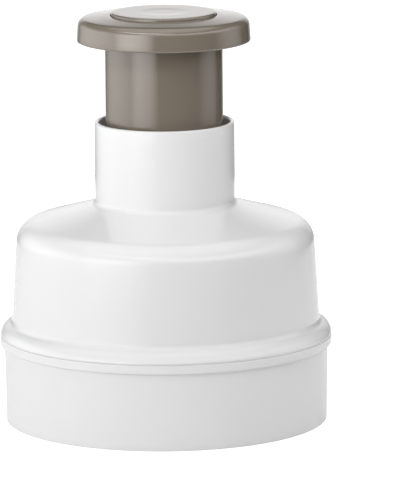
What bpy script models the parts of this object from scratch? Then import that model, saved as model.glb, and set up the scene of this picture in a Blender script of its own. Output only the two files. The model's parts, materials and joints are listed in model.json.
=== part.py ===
"""Spring-return patty press: a bell-shaped housing plugged onto a forming ring,
with a palm knob, plunger tube and stem that push a round plate down the ring.

The axis of the press is Z, the ring stands on z = 0.  Sizes are in millimetres
and are scaled to metres when a mesh is written.
"""

import math

import bmesh
import bpy
from mathutils import Matrix, Vector

MM = 0.001

# clearances
GAP = 0.3              # between two pieces that touch
STROKE = 28.0          # travel of the plunger, from rest to fully pressed

# facets around a large, a middling and a small turned piece
LARGE = 56
MIDDLE = 40
SMALL = 24

# forming ring
CAVITY_RADIUS = 55.0   # the patty is 110 mm across
RING_FOOT_RADIUS = 57.6
RING_NECK_RADIUS = 58.05
LIP_RADIUS = 59.5
LIP_BOTTOM = 27.3
LIP_TOP = 31.0
SPIGOT_RADIUS = 57.1
SPIGOT_TOP = 33.0

# bell housing
BEAD_CENTRE = (54.2, 30.3)
BEAD_RADIUS = 5.45
WALL_FOOT = (55.15, 37.4)
WALL = 2.2
WALL_DRAFT = math.radians(3.5)
SHOULDER_CENTRE = (45.6, 64.65)
SHOULDER_RADIUS = 7.8
CROWN_SLOPE = math.radians(15.5)
NECK_RADIUS = 25.0
NECK_WALL = 1.6
NECK_TOP = 108.0
WELL_FLOOR_TOP = 50.5
WELL_FLOOR_BOTTOM = 48.0

# guide bush and stem
STEM_RADIUS = 6.0
BUSH_RADIUS = 10.0
BUSH_BOTTOM = 44.0
BUSH_TOP = 56.0
BUSH_FLANGE_RADIUS = 13.0
BUSH_FLANGE = 1.6

# plunger
TUBE_RADIUS = 21.0
TUBE_WALL = 1.8
TUBE_BOTTOM = 81.0
COLLAR_HEIGHT = 4.0
SKIRT_RADIUS = 31.05
SKIRT_BOTTOM = NECK_TOP + STROKE + 0.8
KNOB_SHELL = 2.2
KNOB_FLOOR_TOP = 144.0
KNOB_FLOOR_BOTTOM = 142.0
KNOB_WEB_TOP = 141.7
KNOB_WEB_BOTTOM = 139.7
CAP_RADIUS = 18.6
CAP_TOP = 147.2
DIMPLE_RADIUS = 7.1
DIMPLE_DEPTH = 0.6

# press plate
PLATE_RADIUS = 54.6
PLATE_BOTTOM = STROKE + 1.0
PLATE_WEB = 2.0
HUB_RADIUS = 10.0
HUB_TOP = 41.0
HUB_BORE_FLOOR = 34.2
SCREW_RECESS_RADIUS = 7.2
SCREW_RECESS_TOP = 32.0
RIDGE_HEIGHT = 0.8
RIDGE_RADII = (43.5, 32.5, 21.5)
GUSSETS = 8

# spring and fasteners
SPRING_RADIUS = 16.0
WIRE_RADIUS = 0.9
SPRING_TURNS = 8
SPRING_SEAT_RADIUS = 18.4
WASHER = 0.8
SCREW_RADIUS = 2.5
SCREW_HOLE = 2.8
SCREW_LENGTH = 16.0
SCREW_HEAD_RADIUS = 4.6
WASHER_RADIUS = 6.4
THRUST_WASHER_BOTTOM = 135.0
THRUST_WASHER = 1.2


def arc(centre, radius, start, end, steps):
    """Points on an arc in the (radius, height) plane, angles in degrees."""
    points = []
    for i in range(steps + 1):
        angle = math.radians(start + (end - start) * i / steps)
        points.append((centre[0] + radius * math.cos(angle),
                       centre[1] + radius * math.sin(angle)))
    return points


def blend(start, corner, end, steps):
    """Points on a smooth curve that leaves start and meets end, aimed at corner."""
    points = []
    for i in range(steps + 1):
        t = i / steps
        points.append(tuple((1 - t) ** 2 * a + 2 * t * (1 - t) * b + t * t * c
                            for a, b, c in zip(start, corner, end)))
    return points


def material(name, colour, roughness, metallic=0.0):
    mat = bpy.data.materials.new(name)
    mat.use_nodes = True
    shader = mat.node_tree.nodes["Principled BSDF"]
    shader.inputs["Base Color"].default_value = (*colour, 1.0)
    shader.inputs["Roughness"].default_value = roughness
    shader.inputs["Metallic"].default_value = metallic
    mat.diffuse_color = (*colour, 1.0)
    return mat


def finish(name, bm, mat):
    """Write a bmesh in millimetres to an object in metres."""
    bmesh.ops.remove_doubles(bm, verts=bm.verts, dist=1e-5)
    bmesh.ops.recalc_face_normals(bm, faces=bm.faces)
    bmesh.ops.scale(bm, vec=(MM, MM, MM), verts=bm.verts)
    mesh = bpy.data.meshes.new(name)
    bm.to_mesh(mesh)
    bm.free()
    mesh.shade_smooth()
    mesh.set_sharp_from_angle(angle=math.radians(35))
    obj = bpy.data.objects.new(name, mesh)
    obj.data.materials.append(mat)
    bpy.context.collection.objects.link(obj)
    return obj


def turn(name, outline, steps, mat):
    """Spin an outline of (radius, height) points about Z.

    An outline that starts and ends on the axis is spun as it is, any other is closed.
    """
    bm = bmesh.new()
    verts = [bm.verts.new((r, 0.0, z)) for r, z in outline]
    edges = [bm.edges.new(pair) for pair in zip(verts, verts[1:])]
    if outline[0][0] > 0:
        edges.append(bm.edges.new((verts[-1], verts[0])))
    bmesh.ops.spin(bm, geom=verts + edges, cent=(0, 0, 0), axis=(0, 0, 1),
                   angle=math.tau, steps=steps, use_merge=True, use_duplicate=False)
    return finish(name, bm, mat)


def prism(name, corners, height, bottom, mat):
    """A flat polygon in the XY plane raised to a height."""
    bm = bmesh.new()
    face = bm.faces.new([bm.verts.new((x, y, bottom)) for x, y in corners])
    raised = bmesh.ops.extrude_face_region(bm, geom=[face])["geom"]
    top = [item for item in raised if isinstance(item, bmesh.types.BMVert)]
    bmesh.ops.translate(bm, vec=(0, 0, height), verts=top)
    return finish(name, bm, mat)


def combine(obj, other, operation):
    """Apply a Boolean of other to obj and remove other."""
    modifier = obj.modifiers.new(operation.title(), "BOOLEAN")
    modifier.operation = operation
    modifier.object = other
    bpy.context.view_layer.update()
    evaluated = obj.evaluated_get(bpy.context.evaluated_depsgraph_get())
    mesh = bpy.data.meshes.new_from_object(evaluated)
    obj.modifiers.clear()
    obj.data = mesh
    bpy.data.objects.remove(other)


def washer(name, inner, outer, bottom, thickness, mat):
    outline = [(inner, bottom), (outer, bottom),
               (outer, bottom + thickness), (inner, bottom + thickness)]
    return turn(name, outline, SMALL, mat)


def forming_ring(mat):
    """Open mould ring with an outward lip and a spigot that plugs into the housing."""
    foot = 0.8
    outline = arc((RING_FOOT_RADIUS - foot, foot), foot, -90, 0, 3)
    outline += [(RING_NECK_RADIUS, LIP_BOTTOM - 0.4),
                (RING_NECK_RADIUS + 0.3, LIP_BOTTOM)]
    outline += arc((LIP_RADIUS - 0.9, LIP_BOTTOM + 0.9), 0.9, -70, 0, 2)
    outline += arc((LIP_RADIUS - 0.7, LIP_TOP - 0.7), 0.7, 0, 90, 2)
    outline += [(SPIGOT_RADIUS, LIP_TOP),
                (SPIGOT_RADIUS, SPIGOT_TOP - 0.4),
                (SPIGOT_RADIUS - 0.4, SPIGOT_TOP),
                (CAVITY_RADIUS + 0.4, SPIGOT_TOP),
                (CAVITY_RADIUS, SPIGOT_TOP - 0.4),
                (CAVITY_RADIUS, 0.4),
                (CAVITY_RADIUS + 0.4, 0.0)]
    return turn("forming_ring", outline, LARGE, mat)


def dome_housing(mat):
    """Bell, neck and the spring well inside it, one moulding."""
    flange_bottom = LIP_TOP + GAP
    socket_radius = SPIGOT_RADIUS + GAP
    socket_top = SPIGOT_TOP + GAP
    neck_inner = NECK_RADIUS - NECK_WALL
    shoulder_end = 90 - math.degrees(CROWN_SLOPE)
    draft = math.degrees(WALL_DRAFT)
    bead_end = 66

    outline = [(BEAD_CENTRE[0] + BEAD_RADIUS - 0.45, flange_bottom)]
    outline += arc(BEAD_CENTRE, BEAD_RADIUS, 15, bead_end, 5)
    bead_top = outline[-1]
    run = bead_top[0] - WALL_FOOT[0]
    aim = (WALL_FOOT[0], bead_top[1] + run / math.tan(math.radians(bead_end)))
    outline += blend(bead_top, aim, WALL_FOOT, 3)[1:]
    outline += arc(SHOULDER_CENTRE, SHOULDER_RADIUS, draft, shoulder_end, 6)
    crown_edge = outline[-1]
    rise = (crown_edge[0] - NECK_RADIUS) * math.tan(CROWN_SLOPE)
    junction = (NECK_RADIUS, crown_edge[1] + rise)
    fillet = 1.2
    outline += blend((NECK_RADIUS + fillet, junction[1] - fillet * math.tan(CROWN_SLOPE)),
                     junction, (NECK_RADIUS, junction[1] + fillet), 2)
    outline += arc((NECK_RADIUS - NECK_WALL / 2, NECK_TOP - NECK_WALL / 2),
                   NECK_WALL / 2, 0, 180, 4)
    outline += [(neck_inner, WELL_FLOOR_TOP),
                (BUSH_RADIUS + GAP, WELL_FLOOR_TOP),
                (BUSH_RADIUS + GAP, WELL_FLOOR_BOTTOM),
                (NECK_RADIUS - 1.0, WELL_FLOOR_BOTTOM),
                (NECK_RADIUS, WELL_FLOOR_BOTTOM + 1.0),
                (NECK_RADIUS, junction[1] - WALL / math.cos(CROWN_SLOPE))]
    outline += arc(SHOULDER_CENTRE, SHOULDER_RADIUS - WALL, shoulder_end, draft, 4)
    inner_foot = WALL_FOOT[0] - WALL
    outline += blend((inner_foot, WALL_FOOT[1] - 1.2), (inner_foot, socket_top),
                     (inner_foot + 2.2, socket_top), 3)
    outline += [(socket_radius, socket_top), (socket_radius, flange_bottom)]
    return turn("dome_housing", outline, LARGE, mat)


def guide_bush(mat):
    """Flanged sleeve in the well floor that the stem slides in."""
    bore = STEM_RADIUS + GAP
    seat = WELL_FLOOR_TOP + GAP
    outline = [(bore, BUSH_BOTTOM), (BUSH_RADIUS - 0.5, BUSH_BOTTOM),
               (BUSH_RADIUS, BUSH_BOTTOM + 0.5), (BUSH_RADIUS, seat),
               (BUSH_FLANGE_RADIUS, seat), (BUSH_FLANGE_RADIUS, seat + BUSH_FLANGE),
               (BUSH_RADIUS - 1.0, seat + BUSH_FLANGE), (BUSH_RADIUS - 1.0, BUSH_TOP),
               (bore, BUSH_TOP)]
    return turn("guide_bush", outline, SMALL, mat)


def return_spring(mat):
    """Round-wire compression spring with closed ends."""
    start = WELL_FLOOR_TOP + GAP + WASHER + GAP + WIRE_RADIUS
    end = THRUST_WASHER_BOTTOM - GAP - WIRE_RADIUS
    closed_pitch = 2 * WIRE_RADIUS + 0.5
    per_turn = 16
    sides = 5
    count = SPRING_TURNS * per_turn
    rise = end - start - 2 * closed_pitch

    def wire_height(turns):
        closed = min(turns, 1.0) + max(turns - (SPRING_TURNS - 1), 0.0)
        t = min(max((turns - 1) / (SPRING_TURNS - 2), 0.0), 1.0)
        return start + closed * closed_pitch + rise * t

    bm = bmesh.new()
    loops = []
    for i in range(count + 1):
        angle = math.tau * i / per_turn
        out = Vector((math.cos(angle), math.sin(angle), 0))
        centre = out * SPRING_RADIUS + Vector((0, 0, wire_height(i / per_turn)))
        loop = []
        for k in range(sides):
            turn_angle = math.tau * k / sides
            offset = out * math.cos(turn_angle) + Vector((0, 0, math.sin(turn_angle)))
            loop.append(bm.verts.new(centre + offset * WIRE_RADIUS))
        loops.append(loop)
    for near, far in zip(loops, loops[1:]):
        for k in range(sides):
            n = (k + 1) % sides
            bm.faces.new((near[k], near[n], far[n], far[k]))
    bm.faces.new(loops[0])
    bm.faces.new(loops[-1])
    return finish("return_spring", bm, mat)


def palm_knob(mat):
    """Hollow skirted knob with a boss for the stem and a socket for the tube."""
    edge = 0.7
    bore = STEM_RADIUS + GAP
    boss_bottom = THRUST_WASHER_BOTTOM + THRUST_WASHER + GAP
    skirt_inner = SKIRT_RADIUS - KNOB_SHELL
    boss = 9.5
    well = 8.0
    socket = TUBE_RADIUS + GAP
    socket_bottom = KNOB_FLOOR_BOTTOM - 2.5
    ceiling = KNOB_FLOOR_BOTTOM + 1.2
    crown_edge = 146.2
    shoulder = (27.95, 142.6)

    outline = arc((SKIRT_RADIUS - edge, SKIRT_BOTTOM + edge), edge, -90, 0, 3)
    outline += arc(shoulder, 2.75, 5, 84, 4)
    outline += [(CAP_RADIUS + 0.6, crown_edge), (CAP_RADIUS + GAP, crown_edge - 0.3),
                (CAP_RADIUS + GAP, KNOB_FLOOR_TOP),
                (well, KNOB_FLOOR_TOP), (well, KNOB_WEB_TOP),
                (SCREW_HOLE, KNOB_WEB_TOP), (SCREW_HOLE, KNOB_WEB_BOTTOM),
                (bore, KNOB_WEB_BOTTOM), (bore, boss_bottom),
                (boss, boss_bottom), (boss, KNOB_FLOOR_BOTTOM),
                (socket, KNOB_FLOOR_BOTTOM), (socket, socket_bottom),
                (socket + 1.6, socket_bottom), (socket + 1.6, ceiling),
                (skirt_inner - 1.8, ceiling), (skirt_inner - 0.5, ceiling - 1.0),
                (skirt_inner, SKIRT_BOTTOM + 0.3), (skirt_inner + 0.3, SKIRT_BOTTOM)]
    return turn("palm_knob", outline, MIDDLE, mat)


def knob_cap(mat):
    """Snap-in cap over the knob's screw, with a shallow dimple in its middle."""
    dimple = CAP_TOP - DIMPLE_DEPTH
    under = 1.4
    outline = [(0.0, dimple), (DIMPLE_RADIUS - 0.9, dimple),
               (DIMPLE_RADIUS - 0.2, dimple + 0.35), (DIMPLE_RADIUS + 0.3, CAP_TOP)]
    outline += arc((CAP_RADIUS - 0.5, CAP_TOP - 0.5), 0.5, 90, 0, 3)
    outline += [(CAP_RADIUS, KNOB_FLOOR_TOP + GAP),
                (CAP_RADIUS - 1.5, KNOB_FLOOR_TOP + GAP),
                (CAP_RADIUS - 1.5, CAP_TOP - under),
                (DIMPLE_RADIUS + 1.0, CAP_TOP - under),
                (DIMPLE_RADIUS, dimple - under),
                (0.0, dimple - under)]
    return turn("knob_cap", outline, MIDDLE, mat)


def plunger_tube(mat):
    """Tube that telescopes in the neck, guided by a collar at its lower end."""
    inner = TUBE_RADIUS - TUBE_WALL
    top = KNOB_FLOOR_BOTTOM - GAP
    collar = NECK_RADIUS - NECK_WALL - 0.4
    collar_top = TUBE_BOTTOM + COLLAR_HEIGHT
    outline = [(inner, TUBE_BOTTOM), (collar - 0.4, TUBE_BOTTOM),
               (collar, TUBE_BOTTOM + 0.4), (collar, collar_top),
               (TUBE_RADIUS, collar_top + collar - TUBE_RADIUS),
               (TUBE_RADIUS, top - 0.4), (TUBE_RADIUS - 0.4, top), (inner, top)]
    return turn("plunger_tube", outline, MIDDLE, mat)


def plunger_stem(mat):
    """Steel rod, drilled at both ends for the two screws."""
    top = KNOB_WEB_BOTTOM - GAP
    bottom = HUB_BORE_FLOOR + GAP
    depth = SCREW_LENGTH - 2.0
    chamfer = 0.5
    outline = [(0.0, bottom + depth), (SCREW_HOLE, bottom + depth), (SCREW_HOLE, bottom),
               (STEM_RADIUS - chamfer, bottom), (STEM_RADIUS, bottom + chamfer),
               (STEM_RADIUS, top - chamfer), (STEM_RADIUS - chamfer, top),
               (SCREW_HOLE, top), (SCREW_HOLE, top - depth), (0.0, top - depth)]
    return turn("plunger_stem", outline, SMALL, mat)


def socket_screw(name, seat, head, mat):
    """Screw along Z from its seat: a positive head height points up, a negative one down."""
    way = math.copysign(1.0, head)
    tip = seat - SCREW_LENGTH * way
    crown = seat + head
    rim = SCREW_HEAD_RADIUS
    key = 1.6
    outline = [(0.0, tip), (SCREW_RADIUS - 0.4, tip), (SCREW_RADIUS, tip + 0.4 * way),
               (SCREW_RADIUS, seat), (rim, seat), (rim, crown - 0.5 * way),
               (rim - 0.5, crown), (0.0, crown)]
    screw = turn(name, outline, SMALL, mat)
    corners = [(key * math.cos(math.tau * k / 6), key * math.sin(math.tau * k / 6))
               for k in range(6)]
    hexagon = prism(name + "_hexagon", corners, 2.0, crown - 1.0, mat)
    combine(screw, hexagon, "DIFFERENCE")
    return screw


def press_plate(mat):
    """Round plate with release ridges below and a gusseted hub above."""
    base = PLATE_BOTTOM + RIDGE_HEIGHT
    web_top = base + PLATE_WEB
    recess = SCREW_RECESS_RADIUS
    bore = STEM_RADIUS + GAP
    outline = [(recess, SCREW_RECESS_TOP), (recess, PLATE_BOTTOM), (recess + 2.2, PLATE_BOTTOM),
               (recess + 3.0, base)]
    for radius in reversed(RIDGE_RADII):
        outline += [(radius - 1.3, base), (radius, PLATE_BOTTOM), (radius + 1.3, base)]
    outline += [(PLATE_RADIUS - 2.6, base), (PLATE_RADIUS - 1.8, PLATE_BOTTOM),
                (PLATE_RADIUS - 0.6, PLATE_BOTTOM), (PLATE_RADIUS, PLATE_BOTTOM + 0.6),
                (PLATE_RADIUS, web_top + 0.6), (PLATE_RADIUS - 0.4, web_top + 1.0),
                (PLATE_RADIUS - 1.6, web_top + 1.0), (PLATE_RADIUS - 2.0, web_top),
                (HUB_RADIUS, web_top), (HUB_RADIUS, HUB_TOP), (bore, HUB_TOP),
                (bore, HUB_BORE_FLOOR), (SCREW_HOLE, HUB_BORE_FLOOR),
                (SCREW_HOLE, SCREW_RECESS_TOP)]
    plate = turn("press_plate", outline, LARGE, mat)

    half = 0.9
    bm = bmesh.new()
    side = [(HUB_RADIUS - 1.0, web_top - 0.7), (PLATE_RADIUS - 1.8, web_top - 0.7),
            (PLATE_RADIUS - 1.8, web_top + 0.8), (HUB_RADIUS - 1.0, HUB_TOP - 2.0)]
    for k in range(GUSSETS):
        rotation = Matrix.Rotation(math.tau * (k + 0.5) / GUSSETS, 3, "Z")
        face = bm.faces.new([bm.verts.new(rotation @ Vector((r, -half, z))) for r, z in side])
        raised = bmesh.ops.extrude_face_region(bm, geom=[face])["geom"]
        moved = [item for item in raised if isinstance(item, bmesh.types.BMVert)]
        bmesh.ops.translate(bm, vec=rotation @ Vector((0, 2 * half, 0)), verts=moved)
    combine(plate, finish("gussets", bm, mat), "UNION")
    return plate


def stop_bumper(mat):
    """Rubber ring on the hub that meets the bush when the spring lifts the plunger."""
    bottom = HUB_TOP + GAP
    top = BUSH_BOTTOM - GAP
    outline = [(STEM_RADIUS + GAP, bottom), (8.7, bottom), (9.2, bottom + 0.6),
               (9.2, top - 0.6), (8.7, top), (STEM_RADIUS + GAP, top)]
    return turn("stop_bumper", outline, SMALL, mat)


def build():
    for obj in list(bpy.data.objects):
        bpy.data.objects.remove(obj)

    white = material("white_gloss", (0.82, 0.82, 0.82), 0.16)
    taupe = material("taupe_gloss", (0.262, 0.227, 0.188), 0.2)
    natural = material("natural_acetal", (0.74, 0.72, 0.66), 0.45)
    steel = material("stainless", (0.62, 0.61, 0.59), 0.28, 1.0)
    rubber = material("black_rubber", (0.03, 0.03, 0.03), 0.7)

    forming_ring(white)
    dome_housing(white)
    guide_bush(natural)
    washer("lower_spring_seat", BUSH_FLANGE_RADIUS + 0.4, SPRING_SEAT_RADIUS,
           WELL_FLOOR_TOP + GAP, WASHER, steel)
    return_spring(steel)
    washer("thrust_washer", STEM_RADIUS + 0.4, SPRING_SEAT_RADIUS,
           THRUST_WASHER_BOTTOM, THRUST_WASHER, steel)
    palm_knob(taupe)
    knob_cap(taupe)
    plunger_tube(taupe)
    plunger_stem(steel)
    knob_washer = KNOB_WEB_TOP + GAP
    washer("knob_screw_washer", SCREW_HOLE, WASHER_RADIUS, knob_washer, WASHER, steel)
    socket_screw("knob_screw", knob_washer + WASHER + GAP, 1.7, steel)
    press_plate(white)
    plate_washer = SCREW_RECESS_TOP - GAP - WASHER
    washer("plate_screw_washer", SCREW_HOLE, WASHER_RADIUS, plate_washer, WASHER, steel)
    socket_screw("plate_screw", plate_washer - GAP, -1.4, steel)
    stop_bumper(rubber)


build()
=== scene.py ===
"""Spring-return patty press: its finished surfaces, materials, light and camera.

The press stands on z = 0 with its plunger along Z. Sizes are millimetres, and a mesh is
brought to metres as it is written. A piece's outer radius and its ends come from the frame.
Each section below is one piece or a group of like pieces.
"""

import json
import math

import bmesh
import bpy
from mathutils import Matrix, Vector


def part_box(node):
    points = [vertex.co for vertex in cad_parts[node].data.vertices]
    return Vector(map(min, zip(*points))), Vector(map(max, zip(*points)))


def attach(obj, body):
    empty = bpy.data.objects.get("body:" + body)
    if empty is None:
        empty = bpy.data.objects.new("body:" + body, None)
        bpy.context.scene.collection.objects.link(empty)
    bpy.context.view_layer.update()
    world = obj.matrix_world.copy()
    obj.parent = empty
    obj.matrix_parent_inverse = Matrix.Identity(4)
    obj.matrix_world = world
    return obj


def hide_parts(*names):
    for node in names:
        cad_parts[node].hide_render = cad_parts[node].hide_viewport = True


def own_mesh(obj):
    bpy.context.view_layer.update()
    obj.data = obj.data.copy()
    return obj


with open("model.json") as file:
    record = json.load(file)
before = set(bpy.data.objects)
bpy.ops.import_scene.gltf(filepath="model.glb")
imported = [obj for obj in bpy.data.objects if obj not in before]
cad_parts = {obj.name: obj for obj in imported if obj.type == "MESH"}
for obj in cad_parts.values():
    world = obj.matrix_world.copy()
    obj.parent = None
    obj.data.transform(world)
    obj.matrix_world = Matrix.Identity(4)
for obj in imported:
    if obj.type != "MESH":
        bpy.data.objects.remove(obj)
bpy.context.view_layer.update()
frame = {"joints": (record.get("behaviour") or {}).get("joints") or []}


# Forming ring: the open mould that the meat is packed into, injection moulded in white ABS.
# Its foot stands on the board; the lip at its top is lifted by the fingers, and the spigot
# above the lip plugs into the bell.

MM = 0.001


def extent(node):
    """How far a node of the frame reaches from the axis, its bottom and its top, in mm."""
    low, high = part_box(node)
    return high[0] / MM, low[2] / MM, high[2] / MM


LIP, RING_BOTTOM, SPIGOT_TOP = extent("forming_ring")
RING_FOOT, RING_TOP, RING_BORE = 57.6, 58.05, 55.0
LIP_BOTTOM, LIP_TOP, SPIGOT = 27.6, 31.0, 57.1


def turned(name, outline, steps=192):
    """Spin (radius, height, rounding) corners about the axis, from the axis or as a loop.

    A rounding is how far from its corner a curve starts.
    """
    bm = bmesh.new()
    corners = [bm.verts.new((corner[0], 0.0, corner[1])) for corner in outline]
    for pair in zip(corners, corners[1:]):
        bm.edges.new(pair)
    if outline[0][0] > 0:
        bm.edges.new((corners[-1], corners[0]))
    for vert, corner in zip(corners, outline):
        if len(corner) > 2:
            bmesh.ops.bevel(bm, geom=[vert], offset=corner[2], offset_type="OFFSET",
                            segments=min(4 + round(3 * corner[2]), 14), profile=0.5,
                            affect="VERTICES", material=-1)
    longest_edge = 2.5
    for edge in list(bm.edges):
        cuts = int(edge.calc_length() / longest_edge)
        if cuts:
            bmesh.ops.subdivide_edges(bm, edges=[edge], cuts=cuts)
    bmesh.ops.spin(bm, geom=bm.verts[:] + bm.edges[:], cent=(0, 0, 0), axis=(0, 0, 1),
                   angle=math.tau, steps=steps, use_merge=True, use_duplicate=False)
    return written(name, bm)


def written(name, bm, crease=38):
    """Write a bmesh in millimetres to a smooth object in metres, sharp past the crease."""
    bmesh.ops.remove_doubles(bm, verts=bm.verts, dist=1e-4)
    bmesh.ops.recalc_face_normals(bm, faces=bm.faces)
    bmesh.ops.scale(bm, vec=(MM, MM, MM), verts=bm.verts)
    mesh = bpy.data.meshes.new(name)
    bm.to_mesh(mesh)
    bm.free()
    mesh.shade_smooth()
    mesh.set_sharp_from_angle(angle=math.radians(crease))
    piece = bpy.data.objects.new(name, mesh)
    bpy.context.collection.objects.link(piece)
    return piece


class Amount:
    """A number that changes over a surface; arithmetic on it adds Math nodes."""

    def __init__(self, nodes, socket):
        self.nodes = nodes
        self.socket = socket

    def math(self, operation, *terms):
        return self.nodes.node("Math", {"operation": operation}, dict(enumerate(terms)))

    def __add__(self, other):
        return self.math("ADD", self, other)

    def __sub__(self, other):
        return self.math("SUBTRACT", self, other)

    def __rsub__(self, other):
        return self.math("SUBTRACT", other, self)

    def __mul__(self, other):
        return self.math("MULTIPLY", self, other)

    def __pow__(self, other):
        return self.math("POWER", self, other)

    __radd__ = __add__
    __rmul__ = __mul__


class Nodes:
    """The node tree of a material or of the surroundings, and the one way to add to it."""

    def __init__(self, owner):
        owner.use_nodes = True
        self.tree = owner.node_tree

    def node(self, kind, settings={}, inputs={}, output=0):
        made = self.tree.nodes.new("ShaderNode" + kind)
        for name, value in settings.items():
            setattr(made, name, value)
        for name, value in inputs.items():
            self.feed(made.inputs[name], value)
        return Amount(self, made.outputs[output])

    def parts(self, place):
        """The X, Y and Z of a place."""
        return [self.node("SeparateXYZ", {}, {0: place}, output=way) for way in "XYZ"]

    def feed(self, socket, value):
        if isinstance(value, Amount):
            self.tree.links.new(value.socket, socket)
        else:
            socket.default_value = value


class Finish(Nodes):
    """A material with one shader, whose patterns are fixed to the object."""

    def __init__(self, name, constants):
        self.material = bpy.data.materials.new(name)
        super().__init__(self.material)
        self.shader = self.tree.nodes["Principled BSDF"]
        for socket, value in constants.items():
            self.shader.inputs[socket].default_value = value
        self.place = self.node("TexCoord", output="Object")

    def noise(self, size, detail=2.0, stretch=(1, 1, 1)):
        """Noise whose patches are about size millimetres across, from 0 to 1."""
        scaled = self.node("Mapping", {"vector_type": "POINT"},
                           {"Vector": self.place, "Scale": stretch})
        return self.node("TexNoise", {}, {"Vector": scaled, "Scale": 1000.0 / size,
                                          "Detail": detail, "Roughness": 0.55})

    def finish(self, colours, mask, roughness, height, depth):
        """Mix two colours by mask, and set the roughness and a relief depth mm deep."""
        mixed = self.node("Mix", {"data_type": "RGBA"},
                          {0: mask, 6: (*colours[0], 1), 7: (*colours[1], 1)}, output=2)
        self.feed(self.shader.inputs["Base Color"], mixed)
        self.feed(self.shader.inputs["Roughness"], roughness)
        relief = self.node("Bump", {}, {"Height": height, "Distance": depth * MM,
                                        "Strength": 1.0})
        self.feed(self.shader.inputs["Normal"], relief)
        return self.material


def gloss_moulding(name, low, high, roughness, ior=1.52):
    """Glossy moulded plastic: faint clouding, wiped-on smears and a trace of orange peel."""
    gloss = Finish(name, {"IOR": ior})
    clouds = gloss.noise(34.0, 3.0)
    smears = gloss.noise(9.0, 4.0, (1.0, 1.0, 0.35))
    fine = gloss.noise(0.5, 1.0)
    peel = gloss.noise(1.6, 1.5)
    return gloss.finish((low, high), clouds,
                        roughness + 0.05 * (smears - 0.5) + 0.02 * (fine - 0.5),
                        peel + 0.15 * fine, 0.0015)


white_gloss = gloss_moulding("white_abs", (0.800, 0.800, 0.800), (0.820, 0.820, 0.820), 0.11)


def dress(piece, material, body, node):
    """Give a piece its finish and its place on a body, and hide the frame's node that it stands
    for.
    """
    piece.data.materials.append(material)
    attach(piece, body)
    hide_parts(node)


ring = turned("forming_ring_moulding", [
    (RING_FOOT, RING_BOTTOM, 0.25), (RING_TOP, LIP_BOTTOM, 0.6), (LIP, LIP_BOTTOM, 0.8),
    (LIP, LIP_TOP, 0.4), (SPIGOT, LIP_TOP, 0.2), (SPIGOT, SPIGOT_TOP, 0.4),
    (RING_BORE, SPIGOT_TOP, 0.4), (RING_BORE, RING_BOTTOM, 0.4)])
dress(ring, white_gloss, "forming_ring", "forming_ring")


# Bell housing: bead, dome, neck and the spring well inside it, one white ABS moulding.
# It plugs onto the ring's spigot; its neck guides the plunger tube and the floor of its
# well holds the guide bush.

NECK_TOP = extent("dome_housing")[2]
BELL_FOOT, BELL_RIM, BEAD_FOOT = 31.06, 59.2, (59.46, 31.5, 0.2)
BEAD_MIDDLE, BEAD_RADIUS, BEAD_START, BEAD_END = (54.2, 30.3), 5.45, 15.0, 66.0
WALL_FOOT = (55.15, 35.84, 1.38)
SHOULDER = (53.05, 70.68, 5.56)
NECK, NECK_BORE, NECK_FOOT = 25.0, 23.4, 78.46
WELL_FLOOR, WELL_UNDERSIDE, BUSH_HOLE = 50.5, 48.0, 10.3
CROWN_INSIDE, SHOULDER_INSIDE = (NECK, 76.17, 0.8), (50.95, 68.98, 3.99)
SOCKET, SOCKET_TOP, WALL_INSIDE_FOOT = 57.4, 33.3, 52.95


def bead_corner(angle, reach, *rounding):
    """A corner of the bead's outline, at an angle in degrees above its middle."""
    angle = math.radians(angle)
    return (BEAD_MIDDLE[0] + reach * math.cos(angle), BEAD_MIDDLE[1] + reach * math.sin(angle),
            *rounding)


quarter_bend = (BEAD_END - BEAD_START) / 4
bend_reach = BEAD_RADIUS / math.cos(math.radians(quarter_bend))
bell = turned("bell_moulding", [
    (BELL_RIM, BELL_FOOT), BEAD_FOOT,
    bead_corner(BEAD_START + quarter_bend, bend_reach, 1.22),
    bead_corner(BEAD_END - quarter_bend, bend_reach, 1.22),
    bead_corner(BEAD_END, BEAD_RADIUS),
    WALL_FOOT, SHOULDER, (NECK, NECK_FOOT, 1.5),
    (NECK, NECK_TOP, 0.79), (NECK_BORE, NECK_TOP, 0.79),
    (NECK_BORE, WELL_FLOOR, 0.5), (BUSH_HOLE, WELL_FLOOR, 0.2), (BUSH_HOLE, WELL_UNDERSIDE, 0.2),
    (NECK, WELL_UNDERSIDE, 1.0), CROWN_INSIDE, SHOULDER_INSIDE,
    (WALL_INSIDE_FOOT, SOCKET_TOP, 2.2), (SOCKET, SOCKET_TOP, 0.2), (SOCKET, BELL_FOOT, 0.2)],
    steps=216)
dress(bell, white_gloss, "housing", "dome_housing")


# Guide bush: flanged acetal sleeve, turned on a lathe and pressed into the well's floor.
# The stem slides in its bore.

FLANGE, BUSH_BOTTOM, BUSH_TOP = extent("guide_bush")
FLANGE_BOTTOM, FLANGE_TOP = 50.8, 52.4
BUSH, BUSH_BORE, BUSH_NECK = 10.0, 6.3, 9.0


def lathe_turned(name, low, high, roughness, metallic, pitch):
    """A lathe-cut face: fine rings about the axis, with the feed as their pitch in mm."""
    cut = Finish(name, {"Metallic": metallic, "IOR": 1.48})
    x, y, z = cut.parts(cut.place)
    radius = (x * x + y * y) ** 0.5
    feed = math.tau / (pitch * MM)
    rings = radius.math("SINE", (radius + z) * feed)
    mottle = cut.noise(4.0, 3.0)
    return cut.finish((low, high), mottle,
                      roughness + 0.12 * (mottle - 0.5) + 0.03 * rings,
                      0.5 + 0.3 * rings + 0.4 * mottle, 0.006)


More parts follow.
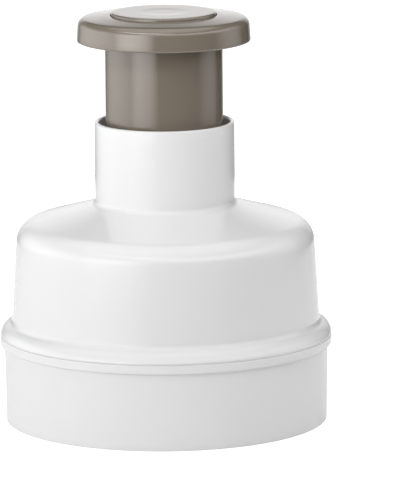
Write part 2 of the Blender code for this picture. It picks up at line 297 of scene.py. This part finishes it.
bush = turned("guide_bush_turned", [
    (BUSH_BORE, BUSH_BOTTOM, 0.3), (BUSH, BUSH_BOTTOM, 0.5), (BUSH, FLANGE_BOTTOM, 0.15),
    (FLANGE, FLANGE_BOTTOM, 0.3), (FLANGE, FLANGE_TOP, 0.3), (BUSH_NECK, FLANGE_TOP, 0.2),
    (BUSH_NECK, BUSH_TOP, 0.4), (BUSH_BORE, BUSH_TOP, 0.3)], steps=96)
dress(bush, lathe_turned("acetal_natural", (0.70, 0.68, 0.61), (0.77, 0.75, 0.70),
                         0.42, 0.0, 0.35),
      "housing", "guide_bush")


# Spring seats: two stamped stainless washers, one on the floor of the well under the
# spring, and one above it that the knob's boss turns on.

LOWER_SEAT_BORE, THRUST_BORE = 13.4, 6.4


def rolled_sheet(name):
    """Stainless sheet: grain along the rolling direction, and faint handling marks."""
    sheet = Finish(name, {"Metallic": 1.0})
    grain = sheet.noise(0.6, 3.0, (0.04, 1.0, 1.0))
    marks = sheet.noise(5.0, 3.0)
    return sheet.finish(((0.55, 0.54, 0.52), (0.66, 0.65, 0.63)), 0.5 * grain + 0.5 * marks,
                        0.2 + 0.16 * grain + 0.08 * marks, grain, 0.002)


sheet_steel = rolled_sheet("stainless_sheet")


def washer(name, node, bore):
    """A stamped washer: its upper edges rolled a little, its lower edges nearly sharp."""
    rim, bottom, top = extent(node)
    return turned(name, [(bore, bottom, 0.08), (rim, bottom, 0.08),
                         (rim, top, 0.2), (bore, top, 0.2)], steps=96)


lower_seat = washer("lower_spring_seat_washer", "lower_spring_seat", LOWER_SEAT_BORE)
dress(lower_seat, sheet_steel, "housing", "lower_spring_seat")
thrust = washer("thrust_washer_stamped", "thrust_washer", THRUST_BORE)
dress(thrust, sheet_steel, "thrust_washer", "thrust_washer")


# Return spring: compression coil of hard-drawn stainless wire with closed ends.
# It stands on the lower seat in the well and lifts the thrust washer.

COIL, WIRE, TURNS = 16.0, 0.9, 8
SPRING_BOTTOM, SPRING_TOP = 51.9, 134.7
CLOSED_PITCH = 2 * WIRE + 0.5
STROKE = next(joint["range_m"][1] / MM for joint in frame["joints"]
              if joint["name"] == "plunger_press")
STEPS_A_TURN = 48

bm = bmesh.new()
upright = Matrix.Translation((COIL, 0, SPRING_BOTTOM + WIRE)) @ Matrix.Rotation(
    math.radians(90), 4, "X")
section = bmesh.ops.create_circle(bm, segments=12, radius=WIRE, matrix=upright)["verts"]
section += list({edge for vert in section for edge in vert.link_edges})
climb = SPRING_TOP - SPRING_BOTTOM - 2 * WIRE - 2 * CLOSED_PITCH
for turns, pitch in ((1, CLOSED_PITCH), (TURNS - 2, climb / (TURNS - 2)), (1, CLOSED_PITCH)):
    steps = turns * STEPS_A_TURN
    section = bmesh.ops.spin(bm, geom=section, cent=(0, 0, 0), axis=(0, 0, 1),
                             dvec=(0, 0, pitch / STEPS_A_TURN), angle=math.tau * turns,
                             steps=steps, use_merge=False, use_duplicate=False)["geom_last"]
bmesh.ops.holes_fill(bm, edges=bm.edges[:], sides=0)
spring = written("return_spring_coil", bm)


def drawn_wire(name):
    """Drawn stainless: bright, with fine lengthwise streaks and a thin film of grease."""
    wire = Finish(name, {"Metallic": 1.0})
    streaks = wire.noise(0.35, 2.0, (1.0, 1.0, 0.12))
    film = wire.noise(6.0, 3.0)
    return wire.finish(((0.52, 0.51, 0.49), (0.68, 0.67, 0.65)), 0.6 * streaks + 0.4 * film,
                       0.16 + 0.12 * streaks + 0.1 * film, streaks, 0.0015)


drawn_steel = drawn_wire("stainless_drawn")
dress(spring, drawn_steel, "housing", "return_spring")
spring_length = SPRING_TOP - SPRING_BOTTOM
(spring_length - STROKE) / spring_length
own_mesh(spring)


# Plunger tube: taupe ABS sleeve that telescopes in the bell's neck and hides the spring.
# It is pushed into a ring under the knob, and its lower collar runs in the neck.

COLLAR, TUBE_BOTTOM, TUBE_TOP = extent("plunger_tube")
TUBE, TUBE_BORE, COLLAR_TOP = 21.0, 19.2, 85.0

taupe_gloss = gloss_moulding("taupe_abs", (0.195, 0.165, 0.132), (0.210, 0.178, 0.142), 0.09,
                             ior=1.72)

tube = turned("plunger_tube_moulding", [
    (TUBE_BORE, TUBE_BOTTOM, 0.2), (COLLAR, TUBE_BOTTOM, 0.4), (COLLAR, COLLAR_TOP, 0.3),
    (TUBE, COLLAR_TOP + COLLAR - TUBE, 0.8), (TUBE, TUBE_TOP, 0.4),
    (TUBE_BORE, TUBE_TOP, 0.2)])
dress(tube, taupe_gloss, "plunger", "plunger_tube")


# Palm knob: hollow skirted cap in the same taupe ABS as the tube, pressed by the palm.
# A boss under its web takes the stem, and a recess in its top takes the cap.

SKIRT, BOSS_BOTTOM, RECESS_TOP = extent("palm_knob")
SKIRT_BOTTOM, SKIRT_BORE = 136.8, 28.85
KNOB_SHOULDER = (30.49, 145.1, 2.27)
RECESS, RECESS_FLOOR = 18.9, 144.0
SCREW_WELL, WEB_TOP, WEB_BOTTOM, SCREW_HOLE = 8.0, 141.7, 139.7, 2.8
BOSS, BOSS_BORE = 9.5, 6.3
CEILING_MIDDLE, CEILING, TUBE_SOCKET, TUBE_SOCKET_RIM = 142.0, 143.2, 21.3, 22.9
TUBE_SOCKET_BOTTOM = CEILING_MIDDLE - 2.5

knob = turned("palm_knob_moulding", [
    (SKIRT, SKIRT_BOTTOM, 0.7), KNOB_SHOULDER, (RECESS + 0.15, RECESS_TOP, 0.3),
    (RECESS, RECESS_FLOOR, 0.2), (SCREW_WELL, RECESS_FLOOR, 0.3), (SCREW_WELL, WEB_TOP, 0.3),
    (SCREW_HOLE, WEB_TOP, 0.1), (SCREW_HOLE, WEB_BOTTOM), (BOSS_BORE, WEB_BOTTOM),
    (BOSS_BORE, BOSS_BOTTOM, 0.2), (BOSS, BOSS_BOTTOM, 0.4), (BOSS, CEILING_MIDDLE, 0.6),
    (TUBE_SOCKET, CEILING_MIDDLE), (TUBE_SOCKET, TUBE_SOCKET_BOTTOM, 0.2),
    (TUBE_SOCKET_RIM, TUBE_SOCKET_BOTTOM, 0.3), (TUBE_SOCKET_RIM, CEILING, 0.5),
    (SKIRT_BORE - 0.5, CEILING, 1.0), (SKIRT_BORE, SKIRT_BOTTOM, 0.35)])
dress(knob, taupe_gloss, "plunger", "palm_knob")


# Knob cap: thin taupe disc that snaps into the knob's recess over the screw.
# Its top stands 1 mm proud and has a shallow dimple for the middle of the palm.

CAP_BOTTOM, CAP_TOP = extent("knob_cap")[1:]
CAP, CAP_SHEET = 18.75, 1.4
CAP_WALL, DIMPLE, DIMPLE_SLOPE, DIMPLE_DEPTH = 1.5, 7.1, 1.6, 0.12

cap = turned("knob_cap_moulding", [
    (0.0, CAP_TOP - DIMPLE_DEPTH), (DIMPLE - DIMPLE_SLOPE, CAP_TOP - DIMPLE_DEPTH, 1.5),
    (DIMPLE + DIMPLE_SLOPE, CAP_TOP, 1.5), (CAP, CAP_TOP, 0.6), (CAP, CAP_BOTTOM, 0.2),
    (CAP - CAP_WALL, CAP_BOTTOM, 0.2), (CAP - CAP_WALL, CAP_TOP - CAP_SHEET, 0.3),
    (DIMPLE + 1.0, CAP_TOP - CAP_SHEET), (DIMPLE, CAP_TOP - DIMPLE_DEPTH - CAP_SHEET),
    (0.0, CAP_TOP - DIMPLE_DEPTH - CAP_SHEET)])
dress(cap, taupe_gloss, "plunger", "knob_cap")


# Plunger stem: 12 mm stainless bar, chamfered and drilled at both ends for the screws.
# It joins the knob to the plate through the guide bush.

STEM, STEM_BOTTOM, STEM_TOP = extent("plunger_stem")
DRILLING, DRILL_DEPTH, DRILL_POINT = 2.8, 14.0, 1.2

stem = turned("plunger_stem_bar", [
    (0.0, STEM_BOTTOM + DRILL_DEPTH), (DRILLING, STEM_BOTTOM + DRILL_DEPTH - DRILL_POINT),
    (DRILLING, STEM_BOTTOM), (STEM, STEM_BOTTOM, 0.5), (STEM, STEM_TOP, 0.5),
    (DRILLING, STEM_TOP), (DRILLING, STEM_TOP - DRILL_DEPTH + DRILL_POINT),
    (0.0, STEM_TOP - DRILL_DEPTH)], steps=72)
dress(stem, drawn_steel, "plunger", "plunger_stem")


# Knob and plate screws, each with a washer: stainless socket-head screws that pull the
# knob and the plate against the ends of the stem. The lower head is thinner than the upper.

SCREW, SCREW_LENGTH, SCREW_POINT, HEAD, HEAD_EDGE, KEY = 2.5, 16.0, 0.4, 4.6, 0.4, 1.6
KNOB_SCREW_SEAT, KNOB_HEAD = 143.1, 1.7
PLATE_SCREW_SEAT, PLATE_HEAD = 30.6, -1.4
SCREW_WASHER_BORE, KEY_DEPTH = 2.8, 1.0


def socket_screw(name, seat, head):
    """Head, shank and hexagon socket, as rings of (radius, height); a head below 0 points down."""
    way = math.copysign(1.0, head)
    around = 48
    bm = bmesh.new()
    flat = Matrix.Translation((0, 0, abs(head)))
    face = HEAD - HEAD_EDGE
    outer = bmesh.ops.create_circle(bm, segments=around, radius=face, matrix=flat)["verts"]
    rim = list({edge for vert in outer for edge in vert.link_edges})
    inner = bmesh.ops.create_circle(bm, segments=6, radius=KEY, matrix=flat)["verts"]
    sides = list({edge for vert in inner for edge in vert.link_edges})
    bmesh.ops.subdivide_edges(bm, edges=sides, cuts=around // 6 - 1)
    sides = [edge for edge in bm.edges if edge not in rim]
    bmesh.ops.bridge_loops(bm, edges=rim + sides)
    top, key_floor = abs(head), abs(head) - KEY_DEPTH
    for loop, start, stations in (
            (sides, KEY, [(KEY, key_floor), (KEY / 50, key_floor - 0.5)]),
            (rim, face, [(1.05 * face, top - 0.06), (HEAD, top - 0.35), (HEAD, 0.0),
                         (SCREW, 0.0), (SCREW, SCREW_POINT - SCREW_LENGTH),
                         (SCREW - SCREW_POINT, -SCREW_LENGTH)])):
        size, level = start, top
        for new_size, new_level in stations:
            made = bmesh.ops.extrude_edge_only(bm, edges=loop)["geom"]
            verts = [item for item in made if isinstance(item, bmesh.types.BMVert)]
            loop = [item for item in made if isinstance(item, bmesh.types.BMEdge)]
            grow = new_size / size
            bmesh.ops.scale(bm, vec=(grow, grow, 1), verts=verts)
            bmesh.ops.translate(bm, vec=(0, 0, new_level - level), verts=verts)
            size, level = new_size, new_level
    bmesh.ops.holes_fill(bm, edges=[edge for edge in bm.edges if edge.is_boundary], sides=0)
    bmesh.ops.scale(bm, vec=(1, 1, way), verts=bm.verts)
    bmesh.ops.translate(bm, vec=(0, 0, seat), verts=bm.verts)
    return written(name, bm, crease=30)


knob_washer = washer("knob_washer_stamped", "knob_screw_washer", SCREW_WASHER_BORE)
dress(knob_washer, sheet_steel, "plunger", "knob_screw_washer")
knob_screw = socket_screw("knob_screw_headed", KNOB_SCREW_SEAT, KNOB_HEAD)
dress(knob_screw, drawn_steel, "plunger", "knob_screw")
plate_washer = washer("plate_washer_stamped", "plate_screw_washer", SCREW_WASHER_BORE)
dress(plate_washer, sheet_steel, "plunger", "plate_screw_washer")
plate_screw = socket_screw("plate_screw_headed", PLATE_SCREW_SEAT, PLATE_HEAD)
dress(plate_screw, drawn_steel, "plunger", "plate_screw")


# Press plate: round white ABS plate on the end of the stem that presses the patty and
# pushes it out of the ring. Three ridges under it keep the meat from sticking, and eight
# gussets brace its hub.

PLATE, PLATE_BOTTOM, HUB_TOP = extent("press_plate")
WEB, RIM, RIM_RISE = 2.0, 1.8, 1.0
RIDGE, RIDGE_SIDE, RIDGE_RADII = 0.8, 1.3, (43.5, 32.5, 21.5)
HUB, HUB_BORE, HUB_BORE_FLOOR = 10.0, 6.3, 34.2
SCREW_RECESS, SCREW_RECESS_TOP = 7.2, 32.0
GUSSETS, GUSSET = 8, 1.8

base = PLATE_BOTTOM + RIDGE
web_top = base + WEB
underside = [(SCREW_RECESS, SCREW_RECESS_TOP, 0.3), (SCREW_RECESS, PLATE_BOTTOM, 0.3),
             (SCREW_RECESS + 2.2, PLATE_BOTTOM, 0.4), (SCREW_RECESS + 3.0, base, 0.4)]
for radius in reversed(RIDGE_RADII):
    underside += [(radius - RIDGE_SIDE, base, 0.5), (radius, PLATE_BOTTOM, 0.7),
                  (radius + RIDGE_SIDE, base, 0.5)]
plate = turned("press_plate_moulding", underside + [
    (PLATE - RIM - RIDGE, base, 0.4), (PLATE - RIM, PLATE_BOTTOM, 0.4),
    (PLATE, PLATE_BOTTOM, 0.6), (PLATE, web_top + RIM_RISE, 0.4),
    (PLATE - RIM, web_top + RIM_RISE, 0.4), (PLATE - RIM - 0.2, web_top, 0.4),
    (HUB, web_top, 0.8), (HUB, HUB_TOP, 0.3), (HUB_BORE, HUB_TOP, 0.3),
    (HUB_BORE, HUB_BORE_FLOOR), (SCREW_HOLE, HUB_BORE_FLOOR), (SCREW_HOLE, SCREW_RECESS_TOP)])
dress(plate, white_gloss, "plunger", "press_plate")

bm = bmesh.new()
side = bm.faces.new([bm.verts.new((r, -GUSSET / 2, z)) for r, z in (
    (HUB - 1.0, web_top - 0.7), (PLATE - RIM, web_top - 0.7),
    (PLATE - RIM, web_top + 0.8), (HUB - 1.0, HUB_TOP - 2.0))])
raised = bmesh.ops.extrude_face_region(bm, geom=[side])["geom"]
bmesh.ops.translate(bm, vec=(0, GUSSET, 0),
                    verts=[item for item in raised if isinstance(item, bmesh.types.BMVert)])
bmesh.ops.bevel(bm, geom=bm.edges[:], offset=0.25, offset_type="OFFSET", segments=3,
                profile=0.5, affect="EDGES", material=-1)
bmesh.ops.rotate(bm, cent=(0, 0, 0), matrix=Matrix.Rotation(math.pi / GUSSETS, 3, "Z"),
                 verts=bm.verts)
bmesh.ops.spin(bm, geom=bm.verts[:] + bm.edges[:] + bm.faces[:], cent=(0, 0, 0),
               axis=(0, 0, 1), angle=math.tau * (GUSSETS - 1) / GUSSETS, steps=GUSSETS - 1,
               use_merge=False, use_duplicate=True)
gussets = written("press_plate_gussets", bm)
gussets.data.materials.append(white_gloss)
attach(gussets, "plunger")


# Stop bumper: moulded rubber ring on the hub of the plate. It meets the guide bush when
# the spring lifts the plunger to its rest.

BUMPER, BUMPER_BOTTOM, BUMPER_TOP = extent("stop_bumper")
BUMPER_BORE = 6.3

bumper = turned("stop_bumper_moulding", [
    (BUMPER_BORE, BUMPER_BOTTOM, 0.3), (BUMPER, BUMPER_BOTTOM, 0.8),
    (BUMPER, BUMPER_TOP, 0.8), (BUMPER_BORE, BUMPER_TOP, 0.3)], steps=96)
rubber = Finish("black_rubber", {"IOR": 1.5, "Specular IOR Level": 0.35})
bloom = rubber.noise(3.0, 4.0)
grain = rubber.noise(0.18, 2.0)
rubber.finish(((0.022, 0.022, 0.022), (0.05, 0.049, 0.047)), bloom,
              0.62 + 0.2 * (bloom - 0.5), grain, 0.01)
dress(bumper, rubber.material, "plunger", "stop_bumper")


# Floor, lights and camera: a white table inside a round screen with soft panels of light, the
# brightest at the front left, and two more above it. Only the table is seen; the rest lights
# the press.

SCREEN, SCREEN_TOP = 500.0, 450.0
LEFT_WALL = (-95, 57, 0.14, 0.20, 1.95)
FRONT_LEFT = (-39, 28, 0.15, 0.165, 3.3)
HIGH_RIGHT = (44, 88, 0.40, 0.22, 2.5)
LOW_RIGHT = (97, 28, 0.14, 0.17, 0.95)
BACKDROP = (180, 32, 0.17, 0.20, 1.3)
ABOVE_FRONT = (-32, 50, 0.62, 0.10, 6.8)
TOP_LIGHT = (0, 1000, 1.00, 0.30, 1.3)


def glow(nodes, place, panels):
    """Light from soft panels, each (azimuth, half width, height, half height, brightness).

    Azimuths are in degrees: 0 is the front and 90 the right. Heights are in metres on the
    screen and the sine of the elevation in the sky. A panel fades to its edges.
    """
    x, y, z = nodes.parts(place)
    azimuth = x.math("ARCTAN2", x, 0 - y) * math.degrees(1)
    total = 0.0
    for middle, half_width, height, half_height, brightness in panels:
        aside = x.math("WRAP", azimuth - middle, 180.0, -180.0) * (1 / half_width)
        above = (z - height) * (1 / half_height)
        across, upright = (x.math("MAXIMUM", 1 - way * way, 0.0) for way in (aside, above))
        total = total + across * upright * brightness
    return total


bm = bmesh.new()
bmesh.ops.create_cone(bm, cap_ends=False, segments=144, radius1=SCREEN, radius2=SCREEN,
                      depth=SCREEN_TOP, matrix=Matrix.Translation((0, 0, SCREEN_TOP / 2)))
screen = written("screen", bm)
screen.visible_camera = False
lit_screen = Finish("screen_light", {"Base Color": (0, 0, 0, 1), "Specular IOR Level": 0.0,
                                     "Emission Strength": 1.0})
lit_screen.feed(lit_screen.shader.inputs["Emission Color"],
                glow(lit_screen, lit_screen.place,
                     (LEFT_WALL, FRONT_LEFT, HIGH_RIGHT, LOW_RIGHT, BACKDROP)))
screen.data.materials.append(lit_screen.material)

world = bpy.data.worlds.new("sky")
bpy.context.scene.world = world
sky = Nodes(world)
sky.feed(sky.tree.nodes["Background"].inputs["Color"],
         glow(sky, sky.node("TexCoord", output="Generated"), (ABOVE_FRONT, TOP_LIGHT)))

FLOOR_RADIUS, FLOOR_DROP = 4000.0, 0.2
FLOOR_GLOW, FLOOR_MIRRORED = 0.95, 0.2

bm = bmesh.new()
bmesh.ops.create_circle(bm, cap_ends=True, segments=96, radius=FLOOR_RADIUS)
floor = written("floor", bm)
floor.location.z = -FLOOR_DROP * MM
table = Finish("white_table", {"Specular IOR Level": 0.0, "Emission Strength": 1.0})
table.finish(((0.79, 0.79, 0.79), (0.81, 0.81, 0.81)), table.noise(60.0, 2.0), 0.9,
             table.noise(2.0, 2.0), 0.01)
direct, mirrored = (table.node("LightPath", output="Is %s Ray" % way)
                    for way in ("Camera", "Glossy"))
table.feed(table.shader.inputs["Emission Color"],
           direct * FLOOR_GLOW + mirrored * FLOOR_MIRRORED)
floor.data.materials.append(table.material)

AIM = Vector((0.0, 0.0, 0.075))
ELEVATION, DISTANCE, ROLL = math.radians(10.31), 2.0, math.radians(0.41)
ASIDE, UPWARD = 0.01399, -0.0098
LENS, SENSOR = 421.9, 36.0
back = Vector((0.0, -math.cos(ELEVATION), math.sin(ELEVATION)))
up = Vector((0.0, math.sin(ELEVATION), math.cos(ELEVATION)))
target = AIM + ASIDE * Vector((1, 0, 0)) + UPWARD * up
view = bpy.data.cameras.new("camera")
view.lens, view.sensor_width = LENS, SENSOR
view.clip_start, view.clip_end = 0.05, 20.0
camera = bpy.data.objects.new("camera", view)
camera.location = AIM + DISTANCE * back
facing = (target - camera.location).to_track_quat("-Z", "Y").to_matrix()
camera.rotation_euler = (facing @ Matrix.Rotation(-ROLL, 3, "Z")).to_euler()
bpy.context.collection.objects.link(camera)
bpy.context.scene.camera = camera
bpy.context.scene.view_settings.view_transform = "Standard"
